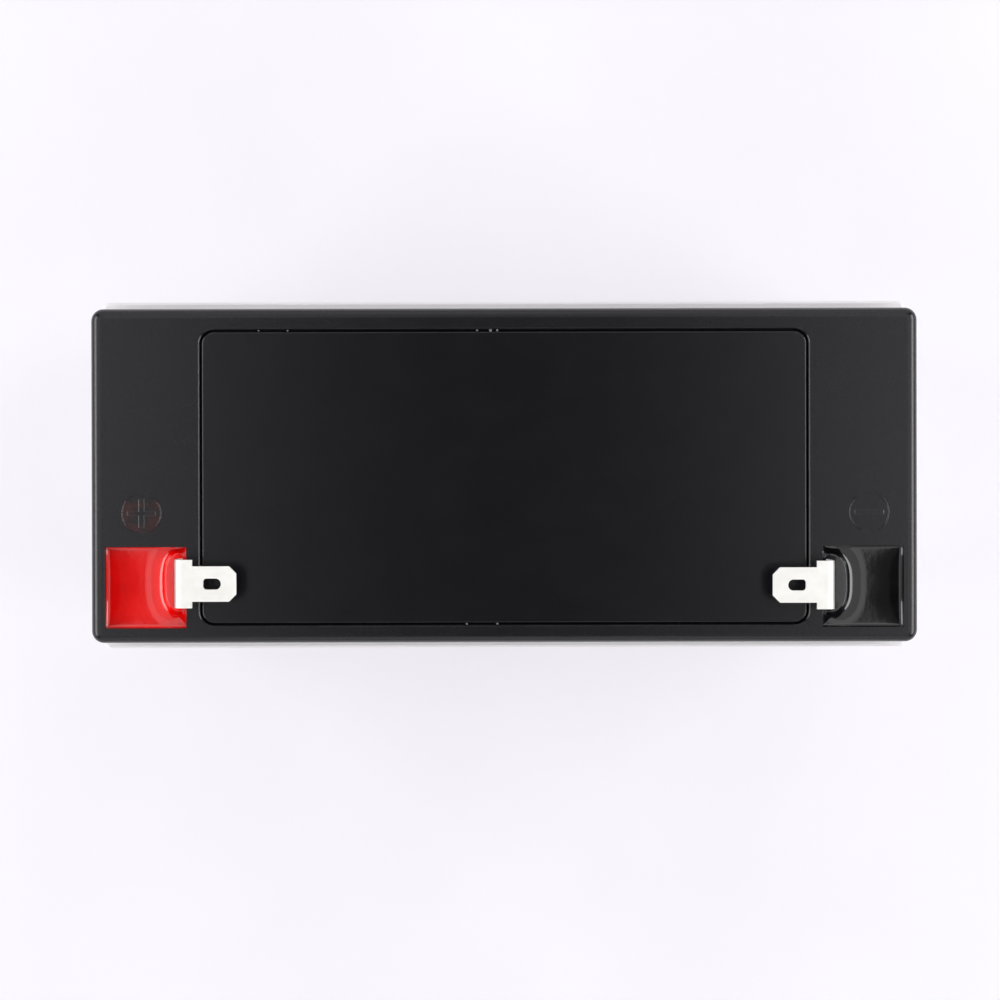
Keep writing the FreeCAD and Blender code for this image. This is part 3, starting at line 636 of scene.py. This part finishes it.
def finish_mark(name, shape, material):
    bmesh.ops.recalc_face_normals(shape, faces=shape.faces)
    mesh = bpy.data.meshes.new(name)
    shape.to_mesh(mesh)
    shape.free()
    item = new_piece(name, mesh, material)
    smooth(mesh, MARK_SHARP_ANGLE)
    ride_with_lid(item)


def make_plus_mark():
    """The plus in its ring, on a thin disc that carries a painted reflection of the red resin in dark red.
    """
    shape = bmesh.new()
    add_ring(shape, PLUS_CENTRE, PLUS_RING_RADIUS, plus_fade)
    add_slab(shape, PLUS_CENTRE, lambda inset: cross(5.35, 0.95, 5.45, 1.25, inset))
    add_slab(shape, PLUS_CENTRE, lambda inset: disc(RED_REFLECTION_RADIUS, inset), RED_REFLECTION_HEIGHT, RED_REFLECTION_CHAMFER)
    finish_mark("plus_mark", shape, RED_REFLECTION_BLACK)


def make_minus_mark():
    """The minus in its ring."""
    shape = bmesh.new()
    add_ring(shape, MINUS_CENTRE, MINUS_RING_RADIUS, minus_fade)
    add_slab(shape, MINUS_CENTRE, lambda inset: bar(5.5, 0.9, inset))
    finish_mark("minus_mark", shape, LID_BLACK)


# Dust in the groove

GROOVE_BACK = 26.45
GROOVE_FRONT = -27.05
CRUMB_DEPTH = 0.12

# Place along the groove, the side that it is on, and radius
CRUMBS = (
    (-4.9, GROOVE_BACK, 0.20),
    (-2.45, GROOVE_BACK, 0.27),
    (-1.2, GROOVE_BACK, 0.22),
    (-44.7, GROOVE_BACK, 0.14),
    (-39.4, GROOVE_BACK, 0.16),
    (-6.9, GROOVE_FRONT, 0.2),
    (-1.3, GROOVE_FRONT, 0.18),
)


def make_groove_crumbs():
    """Specks of pale dust caught in the groove round the vent plate."""
    shape = bmesh.new()
    for x, y, radius in CRUMBS:
        crumb = bmesh.ops.create_icosphere(shape, subdivisions=2, radius=radius * MM)["verts"]
        for vert in crumb:
            vert.co *= random.uniform(0.75, 1.2)
            vert.co += Vector((x * MM, y * MM, DECK - CRUMB_DEPTH * MM))
    mesh = bpy.data.meshes.new("groove_dust")
    shape.to_mesh(mesh)
    shape.free()
    ride_with_lid(new_piece("groove_dust", mesh, DUST))


make_plus_mark()
make_minus_mark()
make_groove_crumbs()


# Moulded edges

EDGE_ROUNDING = 0.12
EDGE_SHARP_ANGLE = 30
FLAT_ANGLE = 0.5
SAME_PLACE = 1e-7


def soften(node, name):
    """Stand in for a CAD node with the same mesh, its sharp edges rounded by a hair."""
    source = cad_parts[node]
    mesh = source.data.copy()
    shape = bmesh.new()
    shape.from_mesh(mesh)
    bmesh.ops.remove_doubles(shape, verts=shape.verts, dist=SAME_PLACE)
    flat = math.radians(FLAT_ANGLE)
    bmesh.ops.dissolve_limit(shape, angle_limit=flat, verts=shape.verts, edges=shape.edges)
    shape.to_mesh(mesh)
    shape.free()
    item = new_piece(name, mesh, source.data.materials[0])
    rounding = item.modifiers.new("rounding", "BEVEL")
    rounding.width = EDGE_ROUNDING * MM
    rounding.segments = 2
    rounding.limit_method = "ANGLE"
    rounding.angle_limit = math.radians(EDGE_SHARP_ANGLE)
    mesh.polygons.foreach_set("use_smooth", [True] * len(mesh.polygons))
    level = item.modifiers.new("level", "WEIGHTED_NORMAL")
    level.weight = 100
    level.keep_sharp = True
    settle(item)
    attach(item, "root")
    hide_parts(node)


soften("vent_plate", "vent_plate_moulding")
soften("lid", "lid_moulding")
soften("container", "container_moulding")


# Floor, light and camera, with lengths in metres and turns in degrees

FLOOR_HALF = 1.5
FLOOR_LIFT = 0.61
WORLD_STRENGTH = 0.05
RIGHT_LIFT = 1.07
CAMERA_HEIGHT = 0.43

# A lamp's power is this times its area and its radiance.
POWER_FACTOR = 4


def floor_material():
    """Pale paper. The camera and glossy surfaces see it lifted almost to white, shadow kept."""
    recipe = Recipe("floor_paper", Roughness=0.9, Specular_IOR_Level=0.1)
    fibres = recipe.noise((60, 60, 60), detail=2)
    recipe.set("Base Color", recipe.ramp(fibres, srgb(194, 192, 197), srgb(198, 196, 201)))
    paths = recipe.tree.nodes.new("ShaderNodeLightPath")
    seen = recipe.combined("MAXIMUM", paths.outputs["Is Camera Ray"], paths.outputs["Is Glossy Ray"])
    recipe.shader.inputs["Emission Color"].default_value = srgb(200, 198, 203)
    recipe.set("Emission Strength", recipe.combined("MULTIPLY", seen, FLOOR_LIFT))
    return recipe.material


def make_floor():
    mesh = bpy.data.meshes.new("floor")
    half = FLOOR_HALF
    corners = [(-half, -half, 0), (half, -half, 0), (half, half, 0), (-half, half, 0)]
    mesh.from_pydata(corners, [], [(0, 1, 2, 3)])
    floor = bpy.data.objects.new("floor", mesh)
    bpy.context.scene.collection.objects.link(floor)
    mesh.materials.append(floor_material())


def area_light(name, place, turn, size, radiance):
    """A flat lamp that shines down, then is turned about X and Y by these degrees."""
    light = bpy.data.lights.new(name, "AREA")
    light.shape = "RECTANGLE"
    light.size, light.size_y = size
    light.energy = POWER_FACTOR * size[0] * size[1] * radiance
    item = bpy.data.objects.new(name, light)
    item.location = place
    item.rotation_euler = (math.radians(turn[0]), math.radians(turn[1]), 0)
    bpy.context.scene.collection.objects.link(item)


def light_side(name, side, lift):
    """The lamps on one side, brighter by lift: one low beside the battery, the others over it."""
    area_light(name + "_softbox", (side * 0.5, 0, 0.265), (0, side * 90), (0.2, 0.62), 4.3 * lift)
    area_light(name + "_panel", (side * 0.73, 0, 0.94), (0, side * 40.5), (0.72, 1.6), 0.66 * lift)
    area_light(name + "_bank", (side * 0.35, 0, 1.19), (0, 0), (0.22, 2.6), 1.06 * lift)
    area_light(name + "_strip", (side * 0.17, 0, 1.2), (0, 0), (0.14, 2.6), 0.08 * lift)


def set_world():
    world = bpy.data.worlds.new("studio")
    bpy.context.scene.world = world
    world.use_nodes = True
    background = world.node_tree.nodes["Background"]
    background.inputs["Color"].default_value = srgb(250, 249, 253)
    background.inputs["Strength"].default_value = WORLD_STRENGTH


def set_camera():
    """The view of the photo, from above and turned by a fraction of a degree."""
    camera = bpy.data.cameras.new("camera")
    item = bpy.data.objects.new("camera", camera)
    camera.sensor_width = 36.0
    camera.lens = 84.96
    camera.shift_y = -0.0417
    item.location = (-0.00076, 0.005, DECK + CAMERA_HEIGHT)
    item.rotation_euler = (math.radians(-0.25), 0, math.radians(-0.125))
    bpy.context.scene.collection.objects.link(item)
    bpy.context.scene.camera = item


make_floor()
light_side("left", LEFT, 1.0)
light_side("right", RIGHT, RIGHT_LIFT)
area_light("back_bank", (0, 0.85, 1.15), (-30, 0), (0.9, 0.8), 0.3)
area_light("back_wall", (0, 1.0, 0.45), (-90, 0), (1.4, 0.7), 0.75)
area_light("front_wall", (0, -1.0, 0.45), (90, 0), (1.4, 0.7), 0.75)
set_world()
set_camera()
bpy.context.scene.view_settings.view_transform = "Standard"
